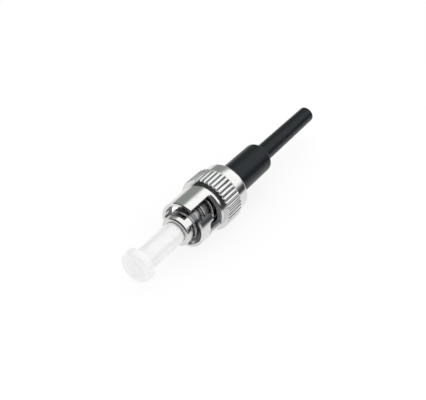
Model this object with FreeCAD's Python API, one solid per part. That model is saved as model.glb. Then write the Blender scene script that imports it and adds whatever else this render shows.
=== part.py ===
import FreeCAD, Part
import math
import os

# A bayonet fibre-optic connector with its dust cap on, lying on its side.
# The axis runs along Y. The mating end looks to -Y and the cable end to +Y, and the origin
# lies on the axis, in the plane of the coupling nut's front rim. All sizes in millimetres.

# Angles about the axis are measured from +X towards +Z, in degrees.

# Ferrule
ferrule_diameter = 2.5
ferrule_length = 12.7
ferrule_reach = 7.8
ferrule_tip_chamfer = 0.35
fibre_hole_diameter = 0.126
fibre_funnel_diameter = 1.0
fibre_funnel_depth = 0.6

# Connector body: the nose that enters the adapter, the spring seat, the neck and the barbed stem
nose_front = -2.1
nose_diameter = 5.4
nose_length = 1.85
nose_chamfer = 0.22
relief_width = 0.35
relief_depth = 0.22
seat_thickness = 1.0
neck_diameter = 3.9
body_bore_diameter = 1.8
key_width = 1.2
key_height = 0.62
key_length = 1.7
key_angle = -90.0
stem_diameter = 3.9
stem_length = 8.0
barb_height = 0.25
barb_relief = 0.4
barb_length = 3.1
barb_crest_share = 0.25
barb_count = 2

# Spring
wire_diameter = 0.45
coil_mean_diameter = 4.95
coil_pitch = 1.91
closed_turns = 0.6
closed_rise = 0.06
spring_start_angle = 220.0
points_per_turn = 12
wire_facets = 6

# Thrust washer
washer_thickness = 0.5
washer_diameter = 5.8

# Coupling nut
barrel_diameter = 8.38
nut_bore_diameter = 7.24
nut_bore_depth = 5.3
rim_edge = 0.1
knurl_front = 6.15
knurl_length = 3.6
knurl_diameter = 9.8
tooth_count = 38
tooth_depth = 0.26
tooth_top_share = 0.5
tooth_root_share = 0.12
knurl_edge = 0.14
rear_band_diameter = 8.7
rear_band_length = 2.6
rear_band_round = 0.45
knurl_root_overlap = 0.3
spring_room_diameter = 6.2
shoulder_front = 9.1
shoulder_thickness = 1.9
clip_room_diameter = 6.3

# Bayonet slots of the nut, seen on its outside: a straight entry, a way round and a resting notch
slot_count = 2
slot_angle = 50.25
slot_width = 2.49
slot_turn = 51.75
slot_back = 5.2
slot_way_front = 3.1
slot_notch_front = 2.0
slot_corner = 0.55

# Retaining ring behind the nut's shoulder
clip_thickness = 0.6
clip_diameter = 5.6
clip_groove_diameter = 3.3
clip_groove_play = 0.05
clip_seat_gap = 0.02
clip_opening = 70.0
clip_angle = 90.0

# Guide tube for the buffered fibre
tube_inner_diameter = 1.1
tube_gap_to_ferrule = 0.3
tube_past_stem = 0.5
tube_end_room = 0.2

# Boot
boot_front_gap = 0.25
boot_front_diameter = 5.6
boot_back_diameter = 5.34
boot_front_edge = 0.15
boot_wide_end = 22.1
boot_wide_round = 0.7
boot_tail_front_diameter = 3.1
boot_tail_back_diameter = 2.8
boot_tail_end = 37.15
boot_tail_edge = 0.25
boot_hole_diameter = 1.1

# Dust cap, pushed over the ferrule
cap_rear_gap = 0.04
cap_shaft_diameter = 3.92
cap_shaft_rear_edge = 0.1
cap_head_back = -11.0
cap_head_front = -12.6
cap_head_back_diameter = 5.9
cap_head_front_diameter = 5.36
cap_head_front_round = 0.5
cap_head_back_edge = 0.1
cap_bore_end = -11.6

# Facets of each round, and how far a cutting solid reaches past what it cuts
round_steps = 3
overcut = 1.0

# Clearances
sliding_gap = 0.1
tube_gap = 0.05
cap_bore_gap = 0.03

origin = FreeCAD.Vector(0, 0, 0)
along = FreeCAD.Vector(0, 1, 0)
turning = FreeCAD.Vector(0, -1, 0)

# Places that follow from the sizes above
nose_back = nose_front + nose_length
seat_front = nose_back + relief_width
seat_back = seat_front + seat_thickness
shoulder_back = shoulder_front + shoulder_thickness
washer_front = shoulder_front - washer_thickness
clip_front = shoulder_back
clip_back = clip_front + clip_thickness
groove_front = clip_front - clip_groove_play
groove_back = clip_back + clip_groove_play
boot_front = clip_back + boot_front_gap
stem_front = boot_front
stem_back = stem_front + stem_length
ferrule_front = nose_front - ferrule_reach
ferrule_back = ferrule_front + ferrule_length
knurl_back = knurl_front + knurl_length
nut_back = knurl_back + rear_band_length


def at(y, radius):
    """A point of a turned outline: a place along the axis and its distance from the axis."""
    return FreeCAD.Vector(radius, y, 0)


def rounded(before, corner, after, radius):
    """Points along a round at a corner, from one tangent point to the other."""
    to_before = (before - corner).normalize()
    to_after = (after - corner).normalize()
    half = to_before.getAngle(to_after) / 2
    centre = corner + (to_before + to_after).normalize() * (radius / math.sin(half))
    run = radius / math.tan(half)
    first = corner + to_before * run - centre
    last = corner + to_after * run - centre
    sweep = math.pi - 2 * half
    points = []
    for i in range(round_steps + 1):
        share = i / round_steps
        near = math.sin((1 - share) * sweep) / math.sin(sweep)
        far = math.sin(share * sweep) / math.sin(sweep)
        points.append(centre + first * near + last * far)
    return points


def outline(stations):
    """A closed wire through (y, radius) or (y, radius, round) stations."""
    corners = [at(s[0], s[1]) for s in stations]
    points = []
    for i, station in enumerate(stations):
        if len(station) > 2:
            after = corners[(i + 1) % len(corners)]
            points += rounded(corners[i - 1], corners[i], after, station[2])
        else:
            points.append(corners[i])
    return Part.makePolygon(points + [points[0]])


def turned(stations, sweep=360.0, start=0.0):
    """A solid turned about the axis, or a sector of one from the start angle."""
    solid = Part.Face(outline(stations)).revolve(origin, turning, sweep)
    solid.rotate(origin, turning, start)
    return solid


def cylinder(diameter, front, back):
    return Part.makeCylinder(diameter / 2, back - front, FreeCAD.Vector(0, front, 0), along)


def make_ferrule():
    radius = ferrule_diameter / 2
    body = turned([
        (ferrule_front, 0),
        (ferrule_front, radius - ferrule_tip_chamfer),
        (ferrule_front + ferrule_tip_chamfer, radius),
        (ferrule_back, radius),
        (ferrule_back, 0),
    ])
    hole = cylinder(fibre_hole_diameter, ferrule_front - overcut, ferrule_back + overcut)
    funnel = Part.makeCone(
        fibre_hole_diameter / 2, fibre_funnel_diameter / 2, fibre_funnel_depth,
        FreeCAD.Vector(0, ferrule_back - fibre_funnel_depth, 0), along,
    )
    return body.cut(hole).cut(funnel)


def barb_stations():
    """The stem's saw-tooth outline: each barb rises towards the nut and drops at its front."""
    base = stem_diameter / 2 - barb_height
    first = stem_back - barb_count * barb_length
    stations = [(first - barb_relief, base + barb_height), (first - barb_relief, base)]
    for i in range(barb_count):
        front = first + i * barb_length
        stations.append((front, base))
        stations.append((front, base + barb_height))
        stations.append((front + barb_crest_share * barb_length, base + barb_height))
    stations.append((stem_back, base))
    return stations


def make_connector_body():
    nose = nose_diameter / 2
    neck = neck_diameter / 2
    stem = stem_diameter / 2
    groove = clip_groove_diameter / 2
    bore = body_bore_diameter / 2
    press = ferrule_diameter / 2
    body = turned([
        (nose_front, press),
        (nose_front, nose - nose_chamfer),
        (nose_front + nose_chamfer, nose),
        (nose_back, nose),
        (nose_back, nose - relief_depth),
        (seat_front, nose - relief_depth),
        (seat_front, nose),
        (seat_back, nose),
        (seat_back, neck),
        (groove_front, neck),
        (groove_front, groove),
        (groove_back, groove),
        (groove_back, stem),
        *barb_stations(),
        (stem_back, bore),
        (ferrule_back, bore),
        (ferrule_back, press),
    ])
    key = Part.makeBox(key_height + nose - bore, key_length, key_width)
    key.translate(FreeCAD.Vector(bore, seat_back - key_length, -key_width / 2))
    key = key.cut(cylinder(nose_diameter - 2 * relief_depth, nose_front, seat_back + overcut))
    key.rotate(origin, turning, key_angle)
    return body.fuse(key).removeSplitter()


def spring_height(turn, turns, rise):
    """How far along the axis the wire's centre has come after so many turns."""
    ramp_turns = turns - 2 * closed_turns
    slope = (rise - 2 * closed_rise) / ramp_turns
    if turn < closed_turns:
        return closed_rise * (turn / closed_turns) ** 2
    if turn > turns - closed_turns:
        return rise - closed_rise * ((turns - turn) / closed_turns) ** 2
    return closed_rise + slope * (turn - closed_turns)


def make_spring():
    wire = wire_diameter / 2
    mean = coil_mean_diameter / 2
    front = seat_back + wire
    rise = washer_front - wire - front
    turns = 2 * closed_turns + (rise - 2 * closed_rise) / coil_pitch
    steps = math.ceil(turns * points_per_turn)
    points = []
    for i in range(steps + 1):
        turn = turns * i / steps
        angle = math.radians(spring_start_angle) + 2 * math.pi * turn
        y = front + spring_height(turn, turns, rise)
        points.append(FreeCAD.Vector(mean * math.cos(angle), y, mean * math.sin(angle)))
    curve = Part.BSplineCurve()
    curve.interpolate(points)
    path = Part.Wire([curve.toShape()])
    outward = FreeCAD.Vector(points[0].x, 0, points[0].z).normalize()
    across = curve.tangent(curve.FirstParameter)[0].cross(outward).normalize()
    corners = []
    for i in range(wire_facets):
        turn = 2 * math.pi * (i + 0.5) / wire_facets
        corners.append(points[0] + (outward * math.cos(turn) + across * math.sin(turn)) * wire)
    section = Part.makePolygon(corners + [corners[0]])
    pipe = Part.BRepOffsetAPI.MakePipeShell(path)
    pipe.setBiNormalMode(along)
    pipe.add(section)
    pipe.build()
    pipe.makeSolid()
    return pipe.shape()


def make_thrust_washer():
    hole = neck_diameter / 2 + sliding_gap
    rim = washer_diameter / 2
    return turned([
        (washer_front, hole),
        (washer_front, rim),
        (shoulder_front, rim),
        (shoulder_front, hole),
    ])


def knurl_profile(y, edge):
    """Corners of the knurl's outline, with the tips taken back by the edge along their flanks."""
    tip = knurl_diameter / 2
    root = tip - tooth_depth
    pitch = 2 * math.pi / tooth_count
    half_top = tooth_top_share * pitch / 2
    half_foot = (1 - tooth_root_share) * pitch / 2
    points = []
    for i in range(tooth_count):
        for side in (-1, 1):
            foot = i * pitch + side * half_foot
            top = i * pitch + side * half_top
            low = FreeCAD.Vector(root * math.cos(foot), y, root * math.sin(foot))
            high = FreeCAD.Vector(tip * math.cos(top), y, tip * math.sin(top))
            high += (low - high) * (edge / tooth_depth)
            points += [low, high] if side < 0 else [high, low]
    return points


def flat_face(points):
    return Part.Face(Part.makePolygon(points + [points[0]]))


def knurl_ring():
    """Straight teeth round the nut with flat chamfers at both ends, as a solid of flat faces."""
    profiles = [
        knurl_profile(knurl_front, knurl_edge),
        knurl_profile(knurl_front + knurl_edge, 0),
        knurl_profile(knurl_back - knurl_edge, 0),
        knurl_profile(knurl_back, knurl_edge),
    ]
    faces = [flat_face(profiles[0]), flat_face(profiles[-1])]
    for near, far in zip(profiles, profiles[1:]):
        for i in range(len(near)):
            faces.append(flat_face([near[i - 1], near[i], far[i], far[i - 1]]))
    return Part.Solid(Part.Shell(faces))


def slot_sector(front, back, first_angle, last_angle):
    """A piece of ring that cuts the barrel's wall between two angles, with rounded corners."""
    inner = nut_bore_diameter / 2 - overcut
    outer = barrel_diameter / 2 + overcut
    return turned(
        [(front, inner), (front, outer), (back, outer), (back, inner)],
        last_angle - first_angle, first_angle,
    )


def round_corners(piece, places, radius):
    """Rounds the straight radial edges of a slot piece that lie at the (angle, y) places."""
    chosen = []
    for edge in piece.Edges:
        ends = [v.Point for v in edge.Vertexes]
        if len(ends) != 2 or abs(ends[0].y - ends[1].y) > 1e-6:
            continue
        angles = [math.degrees(math.atan2(p.z, p.x)) for p in ends]
        if abs(angles[0] - angles[1]) > 1e-3:
            continue
        for angle, y in places:
            turn = (angles[0] - angle + 180) % 360 - 180
            if abs(turn) < 1e-3 and abs(ends[0].y - y) < 1e-6:
                chosen.append(edge)
    return piece.makeFillet(radius, chosen)


def bayonet_slot(angle):
    """One J-shaped slot. From the entry it runs towards falling angles, to the resting notch."""
    half = math.degrees(slot_width / barrel_diameter)
    entry_high = angle + half
    entry_low = angle - half
    notch_high = angle - slot_turn + half
    notch_low = angle - slot_turn - half
    entry = slot_sector(-overcut, slot_back, entry_low, entry_high)
    entry = round_corners(entry, [(entry_high, slot_back)], slot_corner)
    way = slot_sector(slot_way_front, slot_back, notch_low, angle)
    way = round_corners(way, [(notch_low, slot_back)], slot_corner)
    notch = slot_sector(slot_notch_front, slot_way_front + slot_corner, notch_low, notch_high)
    notch = round_corners(
        notch, [(notch_low, slot_notch_front), (notch_high, slot_notch_front)], slot_corner)
    return entry.fuse([way, notch])


def make_coupling_nut():
    bore = nut_bore_diameter / 2
    barrel = barrel_diameter / 2
    spring_room = spring_room_diameter / 2
    slide = neck_diameter / 2 + sliding_gap
    clip_room = clip_room_diameter / 2
    band = rear_band_diameter / 2
    blank = turned([
        (0, bore),
        (0, barrel - rim_edge),
        (rim_edge, barrel),
        (knurl_front, barrel),
        (knurl_front, band),
        (nut_back, band, rear_band_round),
        (nut_back, clip_room),
        (shoulder_back, clip_room),
        (shoulder_back, slide),
        (shoulder_front, slide),
        (shoulder_front, spring_room),
        (nut_bore_depth, spring_room),
        (nut_bore_depth, bore),
    ])
    ring = knurl_ring()
    room = cylinder(2 * (bore + knurl_root_overlap), knurl_front - overcut, knurl_back + overcut)
    nut = blank.fuse(ring.cut(room))
    for i in range(slot_count):
        nut = nut.cut(bayonet_slot(slot_angle + i * 360 / slot_count))
    return nut.removeSplitter()


def make_retaining_ring():
    hole = clip_groove_diameter / 2 + clip_seat_gap
    rim = clip_diameter / 2
    return turned([
        (clip_front, hole),
        (clip_front, rim),
        (clip_back, rim),
        (clip_back, hole),
    ], 360 - clip_opening, clip_angle + clip_opening / 2)


def make_guide_tube():
    outer = body_bore_diameter / 2 - tube_gap
    inner = tube_inner_diameter / 2
    front = ferrule_back + tube_gap_to_ferrule
    back = stem_back + tube_past_stem
    return turned([(front, inner), (front, outer), (back, outer), (back, inner)])


def make_boot():
    bore = stem_diameter / 2
    hole = boot_hole_diameter / 2
    rim = boot_front_diameter / 2
    tail = boot_tail_back_diameter / 2
    room_back = stem_back + tube_past_stem + tube_end_room
    return turned([
        (boot_front, bore),
        (boot_front, rim - boot_front_edge),
        (boot_front + boot_front_edge, rim),
        (boot_wide_end, boot_back_diameter / 2, boot_wide_round),
        (boot_wide_end, boot_tail_front_diameter / 2),
        (boot_tail_end - boot_tail_edge, tail),
        (boot_tail_end, tail - boot_tail_edge),
        (boot_tail_end, hole),
        (room_back + bore - hole, hole),
        (room_back, bore),
    ])


def make_dust_cap():
    rear = nose_front - cap_rear_gap
    shaft = cap_shaft_diameter / 2
    bore = ferrule_diameter / 2 + cap_bore_gap
    head = cap_head_back_diameter / 2
    return turned([
        (cap_bore_end, 0),
        (cap_bore_end, bore),
        (rear, bore),
        (rear, shaft - cap_shaft_rear_edge),
        (rear - cap_shaft_rear_edge, shaft),
        (cap_head_back, shaft),
        (cap_head_back, head - cap_head_back_edge),
        (cap_head_back - cap_head_back_edge, head),
        (cap_head_front, cap_head_front_diameter / 2, cap_head_front_round),
        (cap_head_front, 0),
    ])


pieces = {
    "dust_cap": make_dust_cap,
    "ferrule": make_ferrule,
    "connector_body": make_connector_body,
    "spring": make_spring,
    "thrust_washer": make_thrust_washer,
    "coupling_nut": make_coupling_nut,
    "retaining_ring": make_retaining_ring,
    "guide_tube": make_guide_tube,
    "boot": make_boot,
}

os.makedirs("parts", exist_ok=True)
for node, make in pieces.items():
    shape = make()
    shape.exportStep("parts/" + node + ".step")
    print(node, shape.isValid(), len(shape.Solids), len(shape.Faces), round(shape.Volume, 3))
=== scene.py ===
import math

import bmesh
import bpy
from mathutils import Matrix, Vector


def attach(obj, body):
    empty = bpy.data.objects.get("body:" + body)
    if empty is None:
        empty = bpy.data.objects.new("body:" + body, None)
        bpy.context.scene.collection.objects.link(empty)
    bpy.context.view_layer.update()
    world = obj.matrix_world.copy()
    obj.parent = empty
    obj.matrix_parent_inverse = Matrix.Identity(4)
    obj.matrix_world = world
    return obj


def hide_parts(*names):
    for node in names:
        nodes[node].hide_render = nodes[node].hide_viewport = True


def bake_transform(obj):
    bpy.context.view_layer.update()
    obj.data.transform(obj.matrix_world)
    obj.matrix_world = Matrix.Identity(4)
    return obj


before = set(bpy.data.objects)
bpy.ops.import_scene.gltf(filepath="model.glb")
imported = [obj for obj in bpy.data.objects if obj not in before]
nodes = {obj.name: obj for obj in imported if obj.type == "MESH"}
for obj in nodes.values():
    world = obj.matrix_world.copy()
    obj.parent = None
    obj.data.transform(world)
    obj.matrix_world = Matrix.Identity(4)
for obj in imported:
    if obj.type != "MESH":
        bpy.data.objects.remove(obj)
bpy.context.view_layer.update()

# A bayonet fibre-optic connector with its dust cap on. Sizes are in millimetres in the
# dictionaries and are brought to metres when a piece is finished. The axis runs along Y.
mm = 0.001
samePlace = 1e-4  # millimetres, under which two places count as one
onPlane = 1e-6  # millimetres, under which a point already lies on a cut


def turnOutline(corners, steps, roundSteps=5):
    # turns a closed outline round Y; a corner is (place along Y, radius, length of its round's legs)
    bm = bmesh.new()
    verts = [bm.verts.new((radius, y, 0)) for y, radius, leg in corners]
    bm.faces.new(verts)
    for vert, (y, radius, leg) in zip(verts, corners):
        if leg:
            bmesh.ops.bevel(bm, geom=[vert], offset=leg, offset_type="OFFSET", affect="VERTICES",
                            segments=roundSteps, profile=0.5, material=-1)
    bmesh.ops.delete(bm, geom=bm.faces[:], context="FACES_ONLY")
    onAxis = [e for e in bm.edges if all(abs(v.co.x) < samePlace for v in e.verts)]
    bmesh.ops.delete(bm, geom=onAxis, context="EDGES")
    bmesh.ops.spin(bm, geom=bm.verts[:] + bm.edges[:], cent=(0, 0, 0), axis=(0, 1, 0),
                   angle=2 * math.pi, steps=steps, use_merge=True)
    bmesh.ops.remove_doubles(bm, verts=bm.verts[:], dist=samePlace)
    bmesh.ops.recalc_face_normals(bm, faces=bm.faces[:])
    return bm


def finishPiece(name, bm, material, sharpAngle=32):
    # brings a mesh to metres, marks the edges sharper than so many degrees and makes it an object
    bmesh.ops.scale(bm, vec=(mm, mm, mm), verts=bm.verts[:])
    for face in bm.faces:
        face.smooth = True
    for edge in bm.edges:
        edge.smooth = edge.calc_face_angle(0) < math.radians(sharpAngle)
    mesh = bpy.data.meshes.new(name)
    bm.to_mesh(mesh)
    bm.free()
    mesh.materials.append(material)
    piece = bpy.data.objects.new(name, mesh)
    bpy.context.scene.collection.objects.link(piece)
    evenNormals = piece.modifiers.new("evenNormals", "WEIGHTED_NORMAL")
    evenNormals.keep_sharp = True
    return piece


def linear(hexColour):
    # an sRGB hex colour as the linear values that shaders take
    values = [int(hexColour[i:i + 2], 16) / 255 for i in (1, 3, 5)]
    return [v / 12.92 if v <= 0.04045 else ((v + 0.055) / 1.055) ** 2.4 for v in values] + [1]


def addNode(tree, kind, settings=None, inputs=None, links=None):
    # one node with its settings, its socket values and the sockets that feed it
    node = tree.nodes.new(kind)
    for key, value in (settings or {}).items():
        setattr(node, key, value)
    for key, value in (inputs or {}).items():
        node.inputs[key].default_value = value
    for key, socket in (links or {}).items():
        tree.links.new(socket, node.inputs[key])
    return node


def newMaterial(name):
    material = bpy.data.materials.new(name)
    material.use_nodes = True
    tree = material.node_tree
    tree.nodes.clear()
    return material, tree


def finishMaterial(tree, shader):
    addNode(tree, "ShaderNodeOutputMaterial", links={"Surface": shader.outputs[0]})


def perSize(sizeInMm):
    # a noise or wave scale whose features are about this size
    return 1 / (sizeInMm * mm)


# what both nickel-plated pieces share
nickelLook = {
    "light": "#E2E2E1", "dark": "#D5D5D4", "smooth": 0.1, "hazy": 0.18,
    "cloud": 1.6, "turningMark": 0.05, "markDepth": 0.0007, "ripple": 0.45, "rippleDepth": 0.0012,
    "shadeAndDullZones": [],
}


def brightNickel(name, look):
    # bright nickel plate on turned brass: mirror-like and neutral, with soft haze and lathe marks;
    # a shade-and-dull zone is a stretch of the axis, inside a radius, made satin and darker: the satin
    # is metal left as cut, and the darker colour is painted shade where the zone lies inside the nut
    material, tree = newMaterial(name)
    coords = addNode(tree, "ShaderNodeTexCoord").outputs["Object"]
    cloud = addNode(tree, "ShaderNodeTexNoise", inputs={"Scale": perSize(look["cloud"]), "Detail": 4},
                    links={"Vector": coords})
    tint = addNode(tree, "ShaderNodeMix", {"data_type": "RGBA"},
                   {"A": linear(look["light"]), "B": linear(look["dark"])},
                   {"Factor": cloud.outputs["Fac"]})
    haze = addNode(tree, "ShaderNodeMapRange",
                   inputs={"From Min": 0.35, "From Max": 0.7, "To Min": look["smooth"],
                           "To Max": look["hazy"]},
                   links={"Value": cloud.outputs["Fac"]})
    colour = tint.outputs["Result"]
    roughness = haze.outputs[0]
    split = addNode(tree, "ShaderNodeSeparateXYZ", links={"Vector": coords})
    flatCoords = addNode(tree, "ShaderNodeVectorMath", {"operation": "MULTIPLY"}, {1: (1, 0, 1)},
                         {0: coords})
    radius = addNode(tree, "ShaderNodeVectorMath", {"operation": "LENGTH"},
                     links={0: flatCoords.outputs["Vector"]}).outputs["Value"]
    for zone in look["shadeAndDullZones"]:
        mask = None
        for value, bound, side in ((split.outputs["Y"], zone["from"], 1),
                                   (split.outputs["Y"], zone["to"], -1),
                                   (radius, zone["inside"], -1)):
            edge = addNode(tree, "ShaderNodeMapRange",
                           inputs={"From Min": (bound - side * zone["soft"]) * mm,
                                   "From Max": (bound + side * zone["soft"]) * mm},
                           links={"Value": value}).outputs[0]
            if mask is None:
                mask = edge
            else:
                mask = addNode(tree, "ShaderNodeMath", {"operation": "MULTIPLY"},
                               links={0: mask, 1: edge}).outputs[0]
        # the zone's darker colour is painted shade; its roughness is the satin of metal left as cut
        colour = addNode(tree, "ShaderNodeMix", {"data_type": "RGBA"}, {"B": linear(zone["colour"])},
                         {"Factor": mask, "A": colour}).outputs["Result"]
        roughness = addNode(tree, "ShaderNodeMix", inputs={"B": zone["roughness"]},
                            links={"Factor": mask, "A": roughness}).outputs["Result"]
    # lathe marks: noise that changes along the axis and hardly at all round it
    alongAxis = addNode(tree, "ShaderNodeMapping", inputs={"Scale": (0.01, 1, 0.01)},
                        links={"Vector": coords})
    marks = addNode(tree, "ShaderNodeTexNoise",
                    inputs={"Scale": perSize(look["turningMark"]), "Detail": 2},
                    links={"Vector": alongAxis.outputs[0]})
    ripple = addNode(tree, "ShaderNodeTexNoise", inputs={"Scale": perSize(look["ripple"]), "Detail": 1},
                     links={"Vector": coords})
    rippleBump = addNode(tree, "ShaderNodeBump", inputs={"Distance": look["rippleDepth"] * mm},
                         links={"Height": ripple.outputs["Fac"]})
    markBump = addNode(tree, "ShaderNodeBump", inputs={"Distance": look["markDepth"] * mm},
                       links={"Height": marks.outputs["Fac"], "Normal": rippleBump.outputs[0]})
    shader = addNode(tree, "ShaderNodeBsdfPrincipled", inputs={"Metallic": 1.0},
                     links={"Base Color": colour, "Roughness": roughness,
                            "Normal": markBump.outputs[0]})
    finishMaterial(tree, shader)
    return material


def moulded(name, look):
    # a moulded or turned part that isn't metal: two close tints, a soft gloss and a fine skin
    material, tree = newMaterial(name)
    coords = addNode(tree, "ShaderNodeTexCoord").outputs["Object"]
    cloud = addNode(tree, "ShaderNodeTexNoise", inputs={"Scale": perSize(look["cloud"]), "Detail": 3},
                    links={"Vector": coords})
    tint = addNode(tree, "ShaderNodeMix", {"data_type": "RGBA"},
                   {"A": linear(look["light"]), "B": linear(look["dark"])},
                   {"Factor": cloud.outputs["Fac"]})
    gloss = addNode(tree, "ShaderNodeMapRange",
                    inputs={"From Min": 0.3, "From Max": 0.7, "To Min": look["smooth"],
                            "To Max": look["hazy"]},
                    links={"Value": cloud.outputs["Fac"]})
    skin = addNode(tree, "ShaderNodeTexNoise", inputs={"Scale": perSize(look["grain"]), "Detail": 3},
                   links={"Vector": coords})
    bump = addNode(tree, "ShaderNodeBump", inputs={"Distance": look["grainDepth"] * mm},
                   links={"Height": skin.outputs["Fac"]})
    shader = addNode(tree, "ShaderNodeBsdfPrincipled", inputs=look["sockets"],
                     links={"Base Color": tint.outputs["Result"], "Roughness": gloss.outputs[0],
                            "Normal": bump.outputs[0]})
    finishMaterial(tree, shader)
    return material


# natural polyethylene, moulded: milky and waxy, light goes some way in and glows at thin places
capLook = {
    "light": "#F9F9F8", "dark": "#F4F4F3", "smooth": 0.2, "hazy": 0.27, "cloud": 1.2,
    "grain": 0.12, "grainDepth": 0.0012,
    "sockets": {"IOR": 1.51, "Specular IOR Level": 0.95, "Subsurface Weight": 0.6,
                "Subsurface Radius": (1.0, 1.0, 1.0), "Subsurface Scale": 0.7 * mm,
                "Transmission Weight": 0.1},
}
# soft black PVC, moulded: near-black with a satin sheen and a fine matt skin
bootLook = {
    "light": "#0E1116", "dark": "#090B0F", "smooth": 0.3, "hazy": 0.38, "cloud": 0.9,
    "grain": 0.09, "grainDepth": 0.004,
    # its specular tint gives the boot's reflections a painted bluish cast
    "sockets": {"IOR": 1.5, "Specular IOR Level": 0.3, "Specular Tint": (0.84, 0.95, 1, 1)},
}
# zirconia, ground and polished: dense white ceramic with a hard bright gloss
zirconiaLook = {
    "light": "#F5F3EC", "dark": "#EEEBE2", "smooth": 0.06, "hazy": 0.12, "cloud": 0.8,
    "grain": 0.05, "grainDepth": 0.0003,
    "sockets": {"IOR": 2.1, "Subsurface Weight": 0.15, "Subsurface Scale": 0.3 * mm},
}
# white fluoropolymer tube, extruded: waxy and slightly see-through
tubeLook = {
    "light": "#F1F1EC", "dark": "#E6E6E0", "smooth": 0.34, "hazy": 0.46, "cloud": 0.7,
    "grain": 0.08, "grainDepth": 0.001,
    "sockets": {"IOR": 1.38, "Subsurface Weight": 0.3, "Subsurface Scale": 0.5 * mm},
}
# stainless spring wire, drawn: grey metal with a soft gloss
springLook = {
    "light": "#C6C6C4", "dark": "#B3B3B1", "smooth": 0.08, "hazy": 0.14, "cloud": 0.5,
    "grain": 0.06, "grainDepth": 0.001, "sockets": {"Metallic": 1.0},
}
# stamped stainless washer, tumbled: grey and evenly satin
washerLook = {
    "light": "#C2C1BD", "dark": "#AEADA9", "smooth": 0.24, "hazy": 0.36, "cloud": 0.6,
    "grain": 0.07, "grainDepth": 0.002, "sockets": {"Metallic": 1.0},
}
# spring-steel retaining ring, oiled: darker grey, satin
ringLook = {
    "light": "#8F8E8C", "dark": "#7A7977", "smooth": 0.26, "hazy": 0.4, "cloud": 0.5,
    "grain": 0.06, "grainDepth": 0.002, "sockets": {"Metallic": 1.0},
}

# the nut's inside is left as cut: satin, and painted a little darker as painted shade inside the nut;
# the floors of its knurl are painted dark, as painted shade in the grooves
nutNickel = brightNickel("brightNickelNut", {
    **nickelLook,
    "shadeAndDullZones": [
        {"from": 1.0, "to": 12.0, "inside": 4.07, "soft": 0.02, "colour": "#CFD0D5", "roughness": 0.55},
        {"from": 6.25, "to": 9.65, "inside": 4.77, "soft": 0.03, "colour": "#6A6C70", "roughness": 0.3},
    ],
})
# the body's seat rim and its neck, which only the slots show, are satin and painted darker than its
# nose: painted shade inside the nut
bodyNickel = brightNickel("brightNickelBody", {
    **nickelLook, "light": "#DEDEDD", "dark": "#CFCFCE",
    "shadeAndDullZones": [
        {"from": 0.2, "to": 1.0, "inside": 2.8, "soft": 0.06, "colour": "#77787B", "roughness": 0.34},
        {"from": 1.05, "to": 20.0, "inside": 2.8, "soft": 0.05, "colour": "#A9A9AB", "roughness": 0.4},
    ],
})
milkyPolyethylene = moulded("milkyPolyethylene", capLook)
softBlackPvc = moulded("softBlackPvc", bootLook)
polishedZirconia = moulded("polishedZirconia", zirconiaLook)
whiteFluoropolymer = moulded("whiteFluoropolymer", tubeLook)
drawnSpringSteel = moulded("drawnSpringSteel", springLook)
tumbledWasherSteel = moulded("tumbledWasherSteel", washerLook)
oiledRingSteel = moulded("oiledRingSteel", ringLook)
print("materials ready")

# dust cap: a mushroom head with two shallow moulded rings on its front, and a hollow shaft
cap = {
    "rear": -2.14, "shaft": 1.96, "bore": 1.28, "boreEnd": -11.6, "boreEndRound": 0.25,
    "headBack": -11.0, "headFront": -12.6, "headBackRadius": 2.95, "headFrontRadius": 2.68,
    "headBackRound": 0.12, "headFrontRound": 0.5, "underHeadRound": 0.08,
    "lipInner": 0.06, "lipOuter": 0.12,
    "ring": 1.32, "ringHalf": 0.14, "ringDepth": 0.07, "ringRound": 0.05,
    "gateMark": 0.88, "gateHalf": 0.08, "gateDepth": 0.035, "gateRound": 0.03, "steps": 96,
}
capMesh = turnOutline([
    (cap["boreEnd"], 0, 0),
    (cap["boreEnd"], cap["bore"], cap["boreEndRound"]),
    (cap["rear"], cap["bore"], cap["lipInner"]),
    (cap["rear"], cap["shaft"], cap["lipOuter"]),
    (cap["headBack"], cap["shaft"], cap["underHeadRound"]),
    (cap["headBack"], cap["headBackRadius"], cap["headBackRound"]),
    (cap["headFront"], cap["headFrontRadius"], cap["headFrontRound"]),
    (cap["headFront"], cap["ring"] + cap["ringHalf"], 0),
    (cap["headFront"] + cap["ringDepth"], cap["ring"], cap["ringRound"]),
    (cap["headFront"], cap["ring"] - cap["ringHalf"], 0),
    (cap["headFront"], cap["gateMark"] + cap["gateHalf"], 0),
    (cap["headFront"] + cap["gateDepth"], cap["gateMark"], cap["gateRound"]),
    (cap["headFront"], cap["gateMark"] - cap["gateHalf"], 0),
    (cap["headFront"], 0, 0),
], cap["steps"])
dustCap = finishPiece("dustCap", capMesh, milkyPolyethylene)
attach(dustCap, "cap")
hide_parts("dust_cap")
print("dust cap ready")

# ferrule: a ground rod with a chamfered tip, the fibre's hole and a funnel behind
ferrule = {
    "front": -9.9, "back": 2.8, "radius": 1.25, "hole": 0.063, "tip": 0.35, "tipFrontRound": 0.15,
    "tipBackRound": 0.1, "backRound": 0.15, "funnel": 0.5, "funnelDepth": 0.6, "steps": 96,
}
ferruleMesh = turnOutline([
    (ferrule["front"], ferrule["hole"], 0),
    (ferrule["front"], ferrule["radius"] - ferrule["tip"], ferrule["tipFrontRound"]),
    (ferrule["front"] + ferrule["tip"], ferrule["radius"], ferrule["tipBackRound"]),
    (ferrule["back"], ferrule["radius"], ferrule["backRound"]),
    (ferrule["back"], ferrule["funnel"], 0),
    (ferrule["back"] - ferrule["funnelDepth"], ferrule["hole"], 0),
], ferrule["steps"])
ceramicFerrule = finishPiece("ceramicFerrule", ferruleMesh, polishedZirconia)
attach(ceramicFerrule, "connector")
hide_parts("ferrule")
print("ferrule ready")

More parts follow.
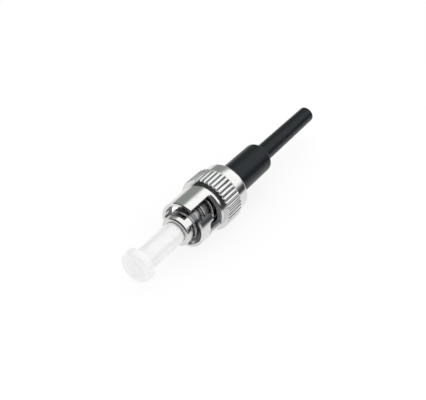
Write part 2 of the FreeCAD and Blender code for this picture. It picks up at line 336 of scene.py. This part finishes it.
# connector body: nose, relief, spring seat, neck, ring groove and barbed stem in one turning
body = {
    "noseFront": -2.1, "nose": 2.7, "noseBack": -0.25, "noseEdge": 0.22, "noseRound": 0.07,
    "relief": 2.48, "edgeRound": 0.05, "seatFront": 0.1, "seatBack": 1.1, "seatRound": 0.08,
    "neck": 1.95, "neckRound": 0.06, "groove": 1.65, "grooveFront": 10.95, "grooveBack": 11.65,
    "grooveRound": 0.03, "barbs": 2, "barbLength": 3.1, "barbBase": 1.7, "barbRound": 0.03,
    "barbCrest": 0.25, "plainStem": 0.4, "stemBack": 19.85, "bore": 0.9, "ferruleBack": 2.8,
    "ferrule": 1.25, "steps": 128,
    "keyWidth": 1.2, "keyHeight": 0.62, "keyLength": 1.7, "keyDepth": 1.5, "keyRound": 0.09,
    "keyAngle": -90,
}
barbsFront = body["stemBack"] - body["barbs"] * body["barbLength"]
stemOutline = [(barbsFront - body["plainStem"], body["neck"], 0)]
stemOutline.append((stemOutline[0][0], body["barbBase"], 0))
for i in range(body["barbs"]):
    barbFront = body["stemBack"] - (body["barbs"] - i) * body["barbLength"]
    stemOutline += [(barbFront, body["barbBase"], 0), (barbFront, body["neck"], body["barbRound"]),
                    (barbFront + body["barbLength"] * body["barbCrest"], body["neck"],
                     body["barbRound"])]
bodyMesh = turnOutline([
    (body["noseFront"], body["ferrule"], body["edgeRound"]),
    (body["noseFront"], body["nose"] - body["noseEdge"], body["noseRound"]),
    (body["noseFront"] + body["noseEdge"], body["nose"], body["noseRound"]),
    (body["noseBack"], body["nose"], body["edgeRound"]),
    (body["noseBack"], body["relief"], body["edgeRound"]),
    (body["seatFront"], body["relief"], body["edgeRound"]),
    (body["seatFront"], body["nose"], body["edgeRound"]),
    (body["seatBack"], body["nose"], body["seatRound"]),
    (body["seatBack"], body["neck"], body["neckRound"]),
    (body["grooveFront"], body["neck"], body["grooveRound"]),
    (body["grooveFront"], body["groove"], 0),
    (body["grooveBack"], body["groove"], 0),
    (body["grooveBack"], body["neck"], body["grooveRound"]),
    *stemOutline,
    (body["stemBack"], body["barbBase"], body["edgeRound"]),
    (body["stemBack"], body["bore"], 0),
    (body["ferruleBack"], body["bore"], 0),
    (body["ferruleBack"], body["ferrule"], 0),
], body["steps"])

# the key that fits the adapter's keyway, joined to the nose
keyMesh = bmesh.new()
bmesh.ops.create_cube(keyMesh, size=1)
bmesh.ops.scale(keyMesh, vec=(body["keyDepth"], body["keyLength"], body["keyWidth"]),
                verts=keyMesh.verts[:])
bmesh.ops.bevel(keyMesh, geom=keyMesh.edges[:], offset=body["keyRound"], offset_type="OFFSET",
                affect="EDGES", segments=3, profile=0.5, material=-1)
bmesh.ops.translate(keyMesh, vec=(body["nose"] + body["keyHeight"] - body["keyDepth"] / 2,
                                  body["seatBack"] - body["keyLength"] / 2, 0),
                    verts=keyMesh.verts[:])
bmesh.ops.rotate(keyMesh, cent=(0, 0, 0), verts=keyMesh.verts[:],
                 matrix=Matrix.Rotation(-math.radians(body["keyAngle"]), 3, "Y"))
connectorBody = finishPiece("connectorBody", bodyMesh, bodyNickel)
key = finishPiece("bodyKey", keyMesh, bodyNickel)
joinKey = connectorBody.modifiers.new("joinKey", "BOOLEAN")
joinKey.operation = "UNION"
joinKey.solver = "EXACT"
joinKey.object = key
bpy.context.view_layer.update()
joined = bpy.data.meshes.new_from_object(
    connectorBody.evaluated_get(bpy.context.evaluated_depsgraph_get()))
connectorBody.modifiers.remove(joinKey)
connectorBody.data = joined
bpy.data.objects.remove(key)
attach(connectorBody, "connector")
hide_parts("connector_body")
print("connector body ready")

# spring: round wire swept in a helix; wire and mean are radii, and the end turns lie nearly flat
spring = {
    "wire": 0.225, "mean": 2.475, "front": 1.1, "back": 8.6, "pitch": 1.91, "closedTurns": 0.6,
    "closedRise": 0.06, "startAngle": 220, "sides": 14, "stepsPerTurn": 48,
}
wireFront = spring["front"] + spring["wire"]
rise = spring["back"] - spring["wire"] - wireFront
turns = 2 * spring["closedTurns"] + (rise - 2 * spring["closedRise"]) / spring["pitch"]
springSteps = round(turns * spring["stepsPerTurn"])


def wireHeight(turn):
    # how far back along the axis the wire has got after so many turns
    slope = (rise - 2 * spring["closedRise"]) / (turns - 2 * spring["closedTurns"])
    if turn < spring["closedTurns"]:
        return spring["closedRise"] * (turn / spring["closedTurns"]) ** 2
    if turn > turns - spring["closedTurns"]:
        return rise - spring["closedRise"] * ((turns - turn) / spring["closedTurns"]) ** 2
    return spring["closedRise"] + slope * (turn - spring["closedTurns"])


springMesh = bmesh.new()
section = bmesh.ops.create_circle(springMesh, cap_ends=True, segments=spring["sides"],
                                  radius=spring["wire"])
bmesh.ops.translate(springMesh, vec=(spring["mean"], wireFront, 0), verts=section["verts"])
bmesh.ops.rotate(springMesh, cent=(0, 0, 0), verts=section["verts"],
                 matrix=Matrix.Rotation(-math.radians(spring["startAngle"]), 3, "Y"))
lastSection = springMesh.faces[:]
for step in range(springSteps):
    lift = wireHeight(turns * (step + 1) / springSteps) - wireHeight(turns * step / springSteps)
    swept = bmesh.ops.spin(springMesh, geom=lastSection, cent=(0, 0, 0), axis=(0, -1, 0),
                           dvec=(0, lift, 0), angle=2 * math.pi * turns / springSteps, steps=1)
    lastSection = [g for g in swept["geom_last"] if isinstance(g, bmesh.types.BMFace)]
bmesh.ops.recalc_face_normals(springMesh, faces=springMesh.faces[:])
coilSpring = finishPiece("coilSpring", springMesh, drawnSpringSteel)
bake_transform(coilSpring)
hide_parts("spring")
print("spring ready")

# coupling nut: the knurled back half is turned, the slotted barrel is cut flat and rolled up;
# columns are the places across one tooth, in pitches, where the knurl's mesh has its lines
nut = {
    "barrel": 4.19, "bore": 3.62, "boreEnd": 5.3, "edge": 0.1, "rimEdge": 0.1,
    "knurlFront": 6.15, "knurlBack": 9.75, "tip": 4.895, "root": 4.68, "teeth": 38, "knurlEdge": 0.14,
    "columns": (-0.46, -0.37, -0.27, -0.14, 0, 0.14, 0.27, 0.37, 0.46), "ridgeRound": 0.44,
    "band": 4.35, "back": 12.35, "bandRound": 0.45, "clipRoom": 3.15, "shoulderBack": 11.0,
    "shoulderHole": 2.05, "shoulderFront": 9.1, "springRoom": 3.1,
    "slotAngle": 50.25, "slotWidth": 2.49, "slotTurn": 51.75, "slotBack": 5.2, "wayFront": 3.1,
    "notchFront": 2.0, "corner": 0.55, "cornerSteps": 8, "smallCorner": 0.14,
    "smallCornerSteps": 3, "bandRoundSteps": 6, "rimEdgeSteps": 2, "seamTooth": 34, "seamColumn": 1,
    "weld": 0.002,
}
pitch = 2 * math.pi / nut["teeth"]
columnAngles = [(k + offset) * pitch for k in range(nut["teeth"]) for offset in nut["columns"]]

# the back half, from the knurl's front face round the rear and inside to the end of the bore
nutMesh = bmesh.new()
chain = [
    (nut["knurlFront"], nut["barrel"]), (nut["knurlFront"], nut["tip"] - nut["knurlEdge"]),
    (nut["knurlFront"] + nut["knurlEdge"], nut["tip"]),
    (nut["knurlBack"] - nut["knurlEdge"], nut["tip"]),
    (nut["knurlBack"], nut["tip"] - nut["knurlEdge"]), (nut["knurlBack"], nut["band"]),
    (nut["back"], nut["band"]), (nut["back"], nut["clipRoom"]),
    (nut["shoulderBack"], nut["clipRoom"]), (nut["shoulderBack"], nut["shoulderHole"]),
    (nut["shoulderFront"], nut["shoulderHole"]), (nut["shoulderFront"], nut["springRoom"]),
    (nut["boreEnd"], nut["springRoom"]), (nut["boreEnd"], nut["bore"]),
]
chainVerts = [nutMesh.verts.new((radius, y, 0)) for y, radius in chain]
nutMesh.faces.new(chainVerts)
bandCorner, rimCorner = chainVerts[6:8]
for vert, leg, segments in ((bandCorner, nut["bandRound"], nut["bandRoundSteps"]),
                            (rimCorner, nut["rimEdge"], nut["rimEdgeSteps"])):
    bmesh.ops.bevel(nutMesh, geom=[vert], offset=leg, offset_type="OFFSET", affect="VERTICES",
                    segments=segments, profile=0.5, material=-1)
bmesh.ops.delete(nutMesh, geom=nutMesh.faces[:], context="FACES_ONLY")
closing = [e for e in nutMesh.edges if set(e.verts) == {chainVerts[0], chainVerts[-1]}]
bmesh.ops.delete(nutMesh, geom=closing, context="EDGES")
bmesh.ops.spin(nutMesh, geom=nutMesh.verts[:] + nutMesh.edges[:], cent=(0, 0, 0), axis=(0, -1, 0),
               angle=2 * math.pi, steps=len(columnAngles), use_merge=True)

# each even step of the spin moves to its column, and the knurl's rounded ridges are drawn in
for vert in nutMesh.verts:
    radius = math.hypot(vert.co.x, vert.co.z)
    turn = math.atan2(vert.co.z, vert.co.x) % (2 * math.pi)
    column = round(turn / (2 * math.pi) * len(columnAngles)) % len(columnAngles)
    angle = columnAngles[column]
    if radius > nut["band"] + samePlace:
        aside = nut["columns"][column % len(nut["columns"])] * pitch * nut["tip"]
        drop = nut["ridgeRound"] - math.sqrt(nut["ridgeRound"] ** 2 - aside ** 2)
        radius = min(radius, max(nut["root"], nut["tip"] - drop))
    vert.co.x = radius * math.cos(angle)
    vert.co.z = radius * math.sin(angle)

# the barrel's wall for half a turn: its outline laid flat, with one bayonet slot whose entrance
# is at x = 0; its seams lie on a column of the knurl, so that the two halves can be welded to it
arc = nut["barrel"]
half = nut["slotWidth"] / 2
notch = -math.radians(nut["slotTurn"]) * arc
seamAngle = columnAngles[len(nut["columns"]) * nut["seamTooth"] + nut["seamColumn"]] - 2 * math.pi
seamLow = (seamAngle - math.radians(nut["slotAngle"])) * arc
seamHigh = seamLow + math.pi * arc
past = 0.5  # how far the flat outline goes beyond the cuts that trim it
flat = [
    (seamLow - past, nut["knurlFront"] + past, 0), (seamLow - past, 0, 0),
    (-half, 0, nut["smallCorner"]), (-half, nut["wayFront"], nut["smallCorner"]),
    (notch + half, nut["wayFront"], nut["smallCorner"]),
    (notch + half, nut["notchFront"], nut["corner"]),
    (notch - half, nut["notchFront"], nut["corner"]), (notch - half, nut["slotBack"], nut["corner"]),
    (half, nut["slotBack"], nut["corner"]), (half, 0, nut["smallCorner"]),
    (seamHigh + past, 0, 0), (seamHigh + past, nut["knurlFront"] + past, 0),
]
wall = bmesh.new()
wallVerts = [wall.verts.new((x, y, 0)) for x, y, leg in flat]
wall.faces.new(wallVerts)
for vert, (x, y, leg) in zip(wallVerts, flat):
    if leg:
        segments = nut["cornerSteps"] if leg == nut["corner"] else nut["smallCornerSteps"]
        bmesh.ops.bevel(wall, geom=[vert], offset=leg, offset_type="OFFSET", affect="VERTICES",
                        segments=segments, profile=0.5, material=-1)
bmesh.ops.inset_region(wall, faces=wall.faces[:], thickness=nut["edge"], depth=0,
                       use_even_offset=True, use_boundary=True)


def cutFlat(place, direction, clear=False):
    # cuts the flat wall along a line, and with clear drops what lies beyond it
    bmesh.ops.bisect_plane(wall, geom=wall.verts[:] + wall.edges[:] + wall.faces[:], dist=onPlane,
                           plane_co=place, plane_no=direction, clear_outer=clear)


cutFlat((seamLow, 0, 0), (-1, 0, 0), True)
cutFlat((seamHigh, 0, 0), (1, 0, 0), True)
cutFlat((0, nut["knurlFront"], 0), (0, 1, 0), True)
for angle in columnAngles:
    for wrapped in (angle, angle - 2 * math.pi):
        x = (wrapped - math.radians(nut["slotAngle"])) * arc
        if seamLow + samePlace < x < seamHigh - samePlace:
            cutFlat((x, 0, 0), (1, 0, 0))


def onCut(vert):
    # whether a point lies on a seam or on the line where the wall meets the knurl
    return (abs(vert.co.x - seamLow) < samePlace or abs(vert.co.x - seamHigh) < samePlace
            or abs(vert.co.y - nut["knurlFront"]) < samePlace)


# the wall gets its thickness, chamfered edges round the slot and rim, and its roll
outline = set()
for edge in wall.edges:
    if edge.is_boundary and not all(onCut(v) for v in edge.verts):
        outline.update(edge.verts)
outlinePlaces = {(round(v.co.x, 5), round(v.co.y, 5)) for v in outline}
thick = nut["barrel"] - nut["bore"]
extruded = bmesh.ops.extrude_face_region(wall, geom=wall.faces[:])
inner = [g for g in extruded["geom"] if isinstance(g, bmesh.types.BMVert)]
bmesh.ops.translate(wall, vec=(0, 0, -thick), verts=inner)
cutWalls = [f for f in wall.faces if all(onCut(v) for v in f.verts)
            and max(v.co.z for v in f.verts) - min(v.co.z for v in f.verts) > thick / 2]
bmesh.ops.delete(wall, geom=cutWalls, context="FACES_ONLY")
for vert in wall.verts:
    isInner = vert.co.z < -thick / 2
    if (round(vert.co.x, 5), round(vert.co.y, 5)) in outlinePlaces:
        vert.co.z += nut["edge"] if isInner else -nut["edge"]
    if isInner and abs(vert.co.y - nut["knurlFront"]) < samePlace:
        vert.co.y = nut["boreEnd"]
    angle = vert.co.x / arc + math.radians(nut["slotAngle"])
    radius = nut["barrel"] + vert.co.z
    vert.co = Vector((radius * math.cos(angle), vert.co.y, radius * math.sin(angle)))
copied = bmesh.ops.duplicate(wall, geom=wall.verts[:] + wall.edges[:] + wall.faces[:])
bmesh.ops.rotate(wall, cent=(0, 0, 0), matrix=Matrix.Rotation(math.pi, 3, "Y"),
                 verts=[g for g in copied["geom"] if isinstance(g, bmesh.types.BMVert)])
wallData = bpy.data.meshes.new("nutWall")
wall.to_mesh(wallData)
wall.free()
nutMesh.from_mesh(wallData)
bpy.data.meshes.remove(wallData)
bmesh.ops.remove_doubles(nutMesh, verts=nutMesh.verts[:], dist=nut["weld"])
bmesh.ops.delete(nutMesh, geom=[e for e in nutMesh.edges if e.is_wire], context="EDGES")
bmesh.ops.recalc_face_normals(nutMesh, faces=nutMesh.faces[:])
couplingNut = finishPiece("couplingNut", nutMesh, nutNickel)
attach(couplingNut, "nut")
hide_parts("coupling_nut")
print("coupling nut ready")

# boot: a wide grip over the stem and a slim tail
boot = {
    "front": 11.85, "frontRadius": 2.8, "frontInner": 0.05, "frontOuter": 0.15, "wideEnd": 22.1,
    "wideRadius": 2.67, "wideRound": 0.7, "tailFront": 1.55, "tailBack": 1.4, "tailFillet": 0.12,
    "end": 37.15, "endRound": 0.28, "hole": 0.55, "holeRound": 0.06, "room": 1.95,
    "roomBack": 20.55, "steps": 112, "roundSteps": 6,
}
bootMesh = turnOutline([
    (boot["front"], boot["room"], boot["frontInner"]),
    (boot["front"], boot["frontRadius"], boot["frontOuter"]),
    (boot["wideEnd"], boot["wideRadius"], boot["wideRound"]),
    (boot["wideEnd"], boot["tailFront"], boot["tailFillet"]),
    (boot["end"], boot["tailBack"], boot["endRound"]),
    (boot["end"], boot["hole"], boot["holeRound"]),
    (boot["roomBack"] + boot["room"] - boot["hole"], boot["hole"], 0),
    (boot["roomBack"], boot["room"], 0),
], boot["steps"], boot["roundSteps"])
softBoot = finishPiece("softBoot", bootMesh, softBlackPvc)
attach(softBoot, "connector")
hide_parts("boot")
print("boot ready")

# the three hidden pieces whose solids stay as they are
for nodeName, material in (("thrust_washer", tumbledWasherSteel), ("retaining_ring", oiledRingSteel),
                           ("guide_tube", whiteFluoropolymer)):
    mesh = nodes[nodeName].data
    mesh.materials.clear()
    mesh.materials.append(material)
print("hidden pieces ready")

# floor: matt white; the camera and reflections see it mostly as plain white, with its shadow
studio = {
    "floorRadius": 92, "floorCentre": (0, 12, -4.91), "floorSides": 96, "shadowShare": 0.22,
    "floorWhite": "#F2F2F2", "floorGlow": 1.03,
}
floorMaterial, tree = newMaterial("whiteFloor")
path = addNode(tree, "ShaderNodeLightPath")
seen = addNode(tree, "ShaderNodeMath", {"operation": "MAXIMUM"},
               links={0: path.outputs["Is Camera Ray"], 1: path.outputs["Is Glossy Ray"]})
white = addNode(tree, "ShaderNodeBsdfDiffuse", inputs={"Color": linear(studio["floorWhite"])})
glow = addNode(tree, "ShaderNodeEmission", inputs={"Strength": studio["floorGlow"]})
share = addNode(tree, "ShaderNodeMath", {"operation": "MULTIPLY"},
                {1: 1 - studio["shadowShare"]}, {0: seen.outputs[0]})
floorShader = addNode(tree, "ShaderNodeMixShader",
                      links={0: share.outputs[0], 1: white.outputs[0], 2: glow.outputs[0]})
finishMaterial(tree, floorShader)
floorMesh = bmesh.new()
bmesh.ops.create_circle(floorMesh, cap_ends=True, segments=studio["floorSides"],
                        radius=studio["floorRadius"])
bmesh.ops.translate(floorMesh, vec=studio["floorCentre"], verts=floorMesh.verts[:])
floor = finishPiece("floor", floorMesh, floorMaterial)

# boards that only reflections see, for the darker parts of the studio; a soft edge is the share
# of the width and of the height over which a board fades out
cards = {
    "darkRoom": {"centre": (-40, -250, 180), "faceTo": (-40, 0, 180), "width": 1200, "height": 520,
                 "colour": "#3E4142", "softEdge": (0.05, 0.1)},
    "darkBackRight": {"centre": (71.76, 63.04, -9), "faceTo": (0, 6, -9), "width": 170,
                      "height": 100, "colour": "#484B4D", "softEdge": (0.1, 0.36)},
    "darkFloorRight": {"centre": (93, 40, -4.6), "faceTo": (93, 40, 100), "width": 160,
                       "height": 200, "colour": "#484B4D", "softEdge": (0.12, 0.15)},
    "greyLeft": {"centre": (-105, 96, 59), "faceTo": (0, 6, 0), "width": 460, "height": 172,
                 "colour": "#9BA09B", "softEdge": (0.05, 0.26)},
}
for name, look in cards.items():
    material, tree = newMaterial(name)
    place = addNode(tree, "ShaderNodeTexCoord").outputs["UV"]
    split = addNode(tree, "ShaderNodeSeparateXYZ", links={"Vector": place})
    masks = []
    for axis, edge in zip("XY", look["softEdge"]):
        fromMiddle = addNode(tree, "ShaderNodeMath", {"operation": "PINGPONG"}, {1: 0.5},
                             {0: split.outputs[axis]})
        masks.append(addNode(tree, "ShaderNodeMapRange", {"interpolation_type": "SMOOTHSTEP"},
                             {"From Min": 0.0, "From Max": edge}, {"Value": fromMiddle.outputs[0]}))
    both = addNode(tree, "ShaderNodeMath", {"operation": "MULTIPLY"},
                   links={0: masks[0].outputs[0], 1: masks[1].outputs[0]})
    path = addNode(tree, "ShaderNodeLightPath")
    shown = addNode(tree, "ShaderNodeMath", {"operation": "MULTIPLY"},
                    links={0: both.outputs[0], 1: path.outputs["Is Glossy Ray"]})
    paint = addNode(tree, "ShaderNodeEmission", inputs={"Color": linear(look["colour"])})
    clear = addNode(tree, "ShaderNodeBsdfTransparent")
    shader = addNode(tree, "ShaderNodeMixShader",
                     links={0: shown.outputs[0], 1: clear.outputs[0], 2: paint.outputs[0]})
    finishMaterial(tree, shader)
    cardMesh = bmesh.new()
    cardMesh.loops.layers.uv.new("board")
    bmesh.ops.create_grid(cardMesh, x_segments=1, y_segments=1, size=0.5, calc_uvs=True,
                          matrix=Matrix.Diagonal((look["width"], look["height"], 1, 1)))
    aim = (Vector(look["faceTo"]) - Vector(look["centre"])).to_track_quat("Z", "Y").to_matrix()
    bmesh.ops.rotate(cardMesh, cent=(0, 0, 0), matrix=aim, verts=cardMesh.verts[:])
    bmesh.ops.translate(cardMesh, vec=look["centre"], verts=cardMesh.verts[:])
    card = finishPiece(name, cardMesh, material)
print("floor and cards ready")

world = bpy.data.worlds.new("studio")
bpy.context.scene.world = world
world.use_nodes = True
world.node_tree.nodes.clear()
backdrop = addNode(world.node_tree, "ShaderNodeBackground",
                   inputs={"Color": (1, 1, 1, 1), "Strength": 1.0})
addNode(world.node_tree, "ShaderNodeOutputWorld", links={"Surface": backdrop.outputs[0]})

# a large softbox above and behind, and a weak front lamp that lights the cap but isn't reflected
lightsAim = Vector((0, 6, 0))
lamps = {
    "overheadSoftbox": {"direction": (0.2, 0.62, 0.64), "distance": 260, "width": 400, "height": 260,
                        "radiance": 0.31, "inReflections": True},
    "frontFill": {"direction": (0.62, -0.76, 0.0), "distance": 150, "width": 120, "height": 120,
                  "radiance": 0.55, "inReflections": False},
}
for name, look in lamps.items():
    light = bpy.data.lights.new(name, "AREA")
    light.shape = "RECTANGLE"
    light.size = look["width"] * mm
    light.size_y = look["height"] * mm
    light.energy = look["radiance"] * math.pi * light.size * light.size_y
    lamp = bpy.data.objects.new(name, light)
    lamp.visible_glossy = look["inReflections"]
    outward = Vector(look["direction"]).normalized()
    across = outward.cross(Vector((0, 1, 0))).normalized()
    turnedTo = Matrix((across, outward.cross(across), outward)).transposed().to_4x4()
    place = (lightsAim + outward * look["distance"]) * mm
    lamp.matrix_world = Matrix.Translation(place) @ turnedTo
    bpy.context.scene.collection.objects.link(lamp)
print("lights ready")

# camera: a long lens, from in front of the cap, to one side and above
view = {
    "target": (-0.262, 8.755, -0.774), "distance": 217.6, "azimuth": 35.6, "elevation": 40.28,
    "lens": 110.8, "sensor": 36, "nearClip": 0.01,
}
azimuth = math.radians(view["azimuth"])
elevation = math.radians(view["elevation"])
away = Vector((math.sin(azimuth) * math.cos(elevation), -math.cos(azimuth) * math.cos(elevation),
               math.sin(elevation)))
cameraData = bpy.data.cameras.new("camera")
cameraData.lens = view["lens"]
cameraData.sensor_width = view["sensor"]
cameraData.clip_start = view["nearClip"]
camera = bpy.data.objects.new("camera", cameraData)
camera.location = (Vector(view["target"]) + away * view["distance"]) * mm
camera.rotation_euler = away.to_track_quat("Z", "Y").to_euler()
bpy.context.scene.collection.objects.link(camera)
bpy.context.scene.camera = camera
bpy.context.scene.view_settings.view_transform = "Standard"
print("camera ready")
